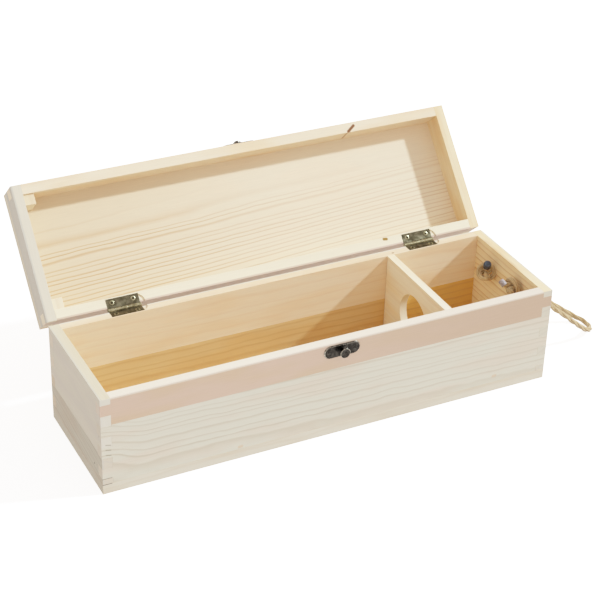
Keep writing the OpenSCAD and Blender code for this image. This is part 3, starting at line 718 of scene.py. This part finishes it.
# The head's middle stays black, and from here out its rim takes the bright edge finish: rubbed brass and painted
# highlight
RING_FROM = 1.15
SCREW_SHARP = 35
BODY_RIM, LID_RIM, SCREW_Y = 76.0, 76.4, 46.3
SCREW_XS = [-126, -110, 112.5, 128.5]
TURNS = [12, 50, -24, 74]
opened = (
    Matrix.Translation(HINGE * MM) @ Matrix.Rotation(-LID_OPEN, 4, "X") @ Matrix.Translation(-HINGE * MM))


def spun(bm, profile, sides):
    """Spins a profile of (radius, height) in mm round the Z axis, and returns the new vertices."""
    before = set(bm.verts)
    corners = [bm.verts.new((r * MM, 0, z * MM)) for r, z in profile]
    edges = [bm.edges.new(pair) for pair in zip(corners, corners[1:])]
    bmesh.ops.spin(
        bm, geom=corners + edges, cent=(0, 0, 0), axis=(0, 0, 1), angle=math.tau, steps=sides,
        use_merge=True)
    made = [vert for vert in bm.verts if vert not in before]
    bmesh.ops.remove_doubles(bm, verts=made, dist=0.001 * MM)
    made = [vert for vert in bm.verts if vert not in before]
    bmesh.ops.recalc_face_normals(bm, faces=list({face for vert in made for face in vert.link_faces}))
    return made


def finished_mesh(bm, name, sharp_angle, *materials):
    """Turns a bmesh into a smooth-shaded mesh with sharp edges over an angle."""
    for face in bm.faces:
        face.smooth = True
    mesh = bpy.data.meshes.new(name)
    bm.to_mesh(mesh)
    bm.free()
    mesh.set_sharp_from_angle(angle=math.radians(sharp_angle))
    for material in materials:
        mesh.materials.append(material)
    return mesh


def cut_screw():
    """One screw with its cross recess, standing up at the origin."""
    bm = bmesh.new()
    spun(bm, SCREW_PROFILE, 32)
    for face in bm.faces:
        face.material_index = face.calc_center_median().xy.length > RING_FROM * MM
    screw = bpy.data.objects.new("screw", finished_mesh(bm, "screw", SCREW_SHARP, hinge_flat, hinge_edge_wear_and_highlight))
    bm = bmesh.new()
    for angle in (0, math.pi / 2):
        bar = Matrix.Rotation(angle, 4, "Z") @ Matrix.Diagonal((*RECESS, 1))
        bmesh.ops.create_cube(bm, size=MM, matrix=bar)
    cutter = bpy.data.objects.new("cutter", finished_mesh(bm, "cutter", 30))
    for thing in (screw, cutter):
        scene.collection.objects.link(thing)
    cut = screw.modifiers.new("recess", "BOOLEAN")
    cut.object = cutter
    cut.operation = "DIFFERENCE"
    cut.use_self = True
    bpy.context.view_layer.update()
    mesh = bpy.data.meshes.new_from_object(screw.evaluated_get(bpy.context.evaluated_depsgraph_get()))
    for thing in (screw, cutter):
        bpy.data.objects.remove(thing)
    return mesh


one_screw = cut_screw()
for node, rim, way, carry in (
    ("hinge_body_screws", BODY_RIM, 1, Matrix.Identity(4)), ("hinge_lid_screws", LID_RIM, -1, opened),
):
    bm = bmesh.new()
    for x, turn in zip(SCREW_XS, TURNS):
        before = set(bm.verts)
        bm.from_mesh(one_screw)
        place = Matrix.Translation(Vector((x, SCREW_Y, rim)) * MM)
        if way < 0:
            place = place @ Matrix.Rotation(math.pi, 4, "X")
        place = carry @ place @ Matrix.Rotation(math.radians(turn * way), 4, "Z")
        bmesh.ops.transform(bm, matrix=place, verts=[vert for vert in bm.verts if vert not in before])
    body = "lid" if way < 0 else "box"
    screws = finished_mesh(bm, node + "_cut", SCREW_SHARP, hinge_flat, hinge_edge_wear_and_highlight)
    new_piece(node + "_cut", screws, body, slot_of[node], node)
bpy.data.meshes.remove(one_screw)
print("screws:", 2 * len(SCREW_XS))

# %% [markdown]
# ## The clasp
# Two stadium-shaped plates are nailed on, one on the body and one on the lid. The body's plate carries
# a small trumpet-shaped knob, and the lid's plate carries a hook that turns on a rivet and drops over
# the knob's neck. The knob is turned, so it is spun, with a smooth flare and a rounded rim.

# %% Clasp plates, nails, rivet and hook
CLASP_EASE = 0.12 * MM
for node, body in {
    "clasp_body_plate": "box", "clasp_body_nails": "box", "clasp_lid_plate": "lid",
    "clasp_rivet": "lid", "clasp_lid_nails": "lid", "clasp_hook": "hook",
}.items():
    # Bevels take the bright edge finish, rubbed brass and painted highlight; nails stay dark.
    edge = clasp_flat if "nails" in node else clasp_edge_wear_and_highlight
    piece = eased_copy(node, node + "_stamped", CLASP_EASE, body, clasp_flat, edge)
    # The soft light fills in the shadow that the body's clasp would throw on the front
    piece.visible_shadow = body != "box"
    print(node, "faces:", len(piece.data.polygons))

# %% Knob
KNOB_PLACE = Vector((2.2, -51, 69.5))
KNOB_SHARP = 40
KNOB_NECK_R, KNOB_R, KNOB_NECK_H, KNOB_H, KNOB_RIM = 1.5, 3.8, 2.2, 4.8, 0.3
flare = [math.radians(angle) for angle in range(0, 91, 10)]
rim = [math.radians(angle) for angle in range(-60, 91, 15)]
FLARE_W, FLARE_H = KNOB_R - KNOB_RIM - KNOB_NECK_R, KNOB_H - 2 * KNOB_RIM - KNOB_NECK_H
knob_profile = [(0, -4), (1.1, -4), (1.1, 0), (KNOB_NECK_R, 0)]
knob_profile += [
    (KNOB_NECK_R + FLARE_W * (1 - math.cos(a)), KNOB_NECK_H + FLARE_H * math.sin(a)) for a in flare]
knob_profile += [
    (KNOB_R - KNOB_RIM + KNOB_RIM * math.cos(a), KNOB_H - KNOB_RIM + KNOB_RIM * math.sin(a)) for a in rim]
knob_profile += [(2.6, KNOB_H - 0.25), (1.4, KNOB_H - 0.4), (0, KNOB_H - 0.45)]
bm = bmesh.new()
spun(bm, knob_profile, 48)
# The knob's rim takes the bright edge finish: painted highlight, the arc of light round its rim, on rubbed brass.
for face in bm.faces:
    face.material_index = face.calc_center_median().xy.length > (KNOB_R - 1.5 * KNOB_RIM) * MM
bmesh.ops.transform(
    bm, matrix=Matrix.Translation(KNOB_PLACE * MM) @ Matrix.Rotation(math.pi / 2, 4, "X"), verts=bm.verts)
knob_mesh = finished_mesh(bm, "clasp_knob_turned", KNOB_SHARP, clasp_flat, clasp_edge_wear_and_highlight)
knob = new_piece("clasp_knob_turned", knob_mesh, "box", slot_of["clasp_knob"], "clasp_knob")
knob.visible_shadow = False
print("knob stands", KNOB_H, "mm proud and is", 2 * KNOB_R, "mm across")

# %% [markdown]
# ## Rope and tape
# The rope is straw-coloured hemp: dull fibres that run along each strand. Its ends are wrapped in
# dark tape so that they don't fray.

# %% Rope and tape finishes


def hemp(name):
    """Straw-coloured hemp: fibres along each strand, in tufts that are darker and lighter. It has no gloss,
    and a faint light fuzz stands round its outline."""
    material, tree, shader = new_material(name)
    along, round_share = add(tree, "SeparateXYZ", [add(tree, "TexCoord", give="UV")]).node.outputs[:2]
    angle = add(tree, "Math", [round_share, math.tau], operation="MULTIPLY")
    circle = [add(tree, "Math", [angle], operation=way) for way in ("COSINE", "SINE")]
    place = add(tree, "CombineXYZ", [along, *circle])
    tufts = add(tree, "VectorMath", [place, (0.15, 1.2, 1.2)], operation="MULTIPLY")
    tufts = add(tree, "TexNoise", {"Vector": tufts, "Scale": 1.0, "Detail": 2.0})
    hairs = add(tree, "VectorMath", [place, (0.5, 4.5, 4.5)], operation="MULTIPLY")
    hairs = add(tree, "TexNoise", {"Vector": hairs, "Scale": 1.0, "Detail": 2.0})
    share = add(tree, "MapRange", [tufts, 0.3, 0.7, 0.0, 1.0], interpolation_type="SMOOTHSTEP")
    colour = add(tree, "Mix", {0: share, 6: linear("#A08050"), 7: linear("#CDB588")}, 2, data_type="RGBA")
    share = add(tree, "MapRange", [hairs, 0.55, 0.75, 0.0, 0.7], interpolation_type="SMOOTHSTEP")
    colour = add(tree, "Mix", {0: share, 6: colour, 7: linear("#8C6A4A")}, 2, data_type="RGBA")
    tree.links.new(colour, shader.inputs["Base Color"])
    shader.inputs["Roughness"].default_value = 0.8
    shader.inputs["Sheen Weight"].default_value = 0.2
    bump = add(tree, "Bump", {"Height": hairs, "Strength": 0.6, "Distance": 0.15 * MM})
    tree.links.new(bump, shader.inputs["Normal"])
    return material


def tape(name, dark, light):
    """Wrapped tape: a slight gloss that fine wrinkles break up."""
    material, tree, shader = new_material(name)
    coords = add(tree, "TexCoord", give="Object")
    wrinkles = add(tree, "TexNoise", {"Vector": coords, "Scale": 1 / (0.8 * MM), "Detail": 2.0})
    share = add(tree, "MapRange", [wrinkles, 0.3, 0.7, 0.0, 1.0], interpolation_type="SMOOTHSTEP")
    colour = add(tree, "Mix", {0: share, 6: linear(dark), 7: linear(light)}, 2, data_type="RGBA")
    tree.links.new(colour, shader.inputs["Base Color"])
    shader.inputs["Roughness"].default_value = 0.42
    bump = add(tree, "Bump", {"Height": wrinkles, "Strength": 0.5, "Distance": 0.1 * MM})
    tree.links.new(bump, shader.inputs["Normal"])
    return material


rope_finish = hemp("hemp_rope")
finishes = {"rope_back_knot_tip": tape("dark_tape", "#1B212B", "#3C4654"),
            "rope_front_knot_tip": tape("pale_tape", "#75696B", "#B9AFB0")}
for piece in [rope, *knots]:
    piece.data.materials.clear()
    piece.data.materials.append(finishes.get(piece.name, rope_finish))
    print(piece.name, "is", piece.data.materials[0].name)

# %% [markdown]
# ## Floor and light
# The picture is a studio shot on a white light table: soft light from all round, and one large lamp
# high on the right, a little to the front. The shadow edges in the lid give its direction. The floor
# takes shadows but throws no light back up, because the photograph's front is darker than its rims.

# %% Studio
KEY_WAY = Vector((24, -6.65, 18.77)).normalized()
KEY_STRENGTH = 2.95
SKY, GROUND = 0.64, 0.55
FLOOR_SIZE = 8.0
FLOOR_GLOW = 0.95
KEY_TINT, SKY_TINT = (0.86, 1.0, 1.08), (1.12, 1.0, 0.92, 1)

bm = bmesh.new()
bmesh.ops.create_grid(bm, x_segments=1, y_segments=1, size=FLOOR_SIZE / 2)
# A matt white table top, lit from below, so that it stays white and shows only a trace of shadow
material, tree, shader = new_material("studio_floor")
shader.inputs["Base Color"].default_value = linear("#F4F4F2")
shader.inputs["Roughness"].default_value = 0.9
shader.inputs["Emission Color"].default_value = (1, 1, 1, 1)
shader.inputs["Emission Strength"].default_value = FLOOR_GLOW
floor = bpy.data.objects.new("floor", finished_mesh(bm, "floor", 30, material))
floor.visible_diffuse = False
scene.collection.objects.link(floor)

key = bpy.data.objects.new("key", bpy.data.lights.new("key", "SUN"))
key.data.energy = KEY_STRENGTH
key.data.color = KEY_TINT
key.data.angle = math.radians(3.5)
key.rotation_mode = "QUATERNION"
key.rotation_quaternion = KEY_WAY.to_track_quat("Z", "Y")
scene.collection.objects.link(key)

world = bpy.data.worlds.new("studio")
world.use_nodes = True
scene.world = world
sky = world.node_tree.nodes["Background"]
sky.inputs["Color"].default_value = SKY_TINT
tree = world.node_tree
height = add(tree, "SeparateXYZ", [add(tree, "TexCoord", give="Generated")], "Z")
tree.links.new(
    add(tree, "MapRange", [height, -0.1, 0.1, GROUND, SKY], interpolation_type="SMOOTHSTEP"),
    sky.inputs["Strength"])
print("lamp", KEY_STRENGTH, "sky", SKY, "ground", GROUND)

# %% [markdown]
# ## The camera's tone curve
# A camera doesn't record light in proportion: it squeezes the bright end. That is why the photograph's
# sunlit wood is nearly white while its shadows stay golden. The curve below does the same.

# %% Tone curve
CURVE_RISE, CURVE_TOP, CURVE_END = 1.6, 0.93, 1.8
scene.view_settings.view_transform = "Standard"
scene.view_settings.use_curve_mapping = True
mapping = scene.view_settings.curve_mapping
mapping.white_level = (CURVE_END,) * 3
points = mapping.curves[3].points
for step in (0.04, 0.09, 0.16, 0.26, 0.38, 0.52, 0.7):
    points.new(step, (1 - math.exp(-CURVE_RISE * CURVE_END * step)) / CURVE_TOP)
points[len(points) - 1].location = (1, 1)
mapping.update()
print("tone curve:", [(round(point.location.x, 2), round(point.location.y, 2)) for point in points])

# %% [markdown]
# ## Light inside the box
# Inside, light bounces many times from wood to wood before it comes out. More bounces than usual are
# followed, so that the deep corners get their warm glow.

# %% Bounces
scene.cycles.diffuse_bounces = 10
print("bounces:", scene.cycles.diffuse_bounces)
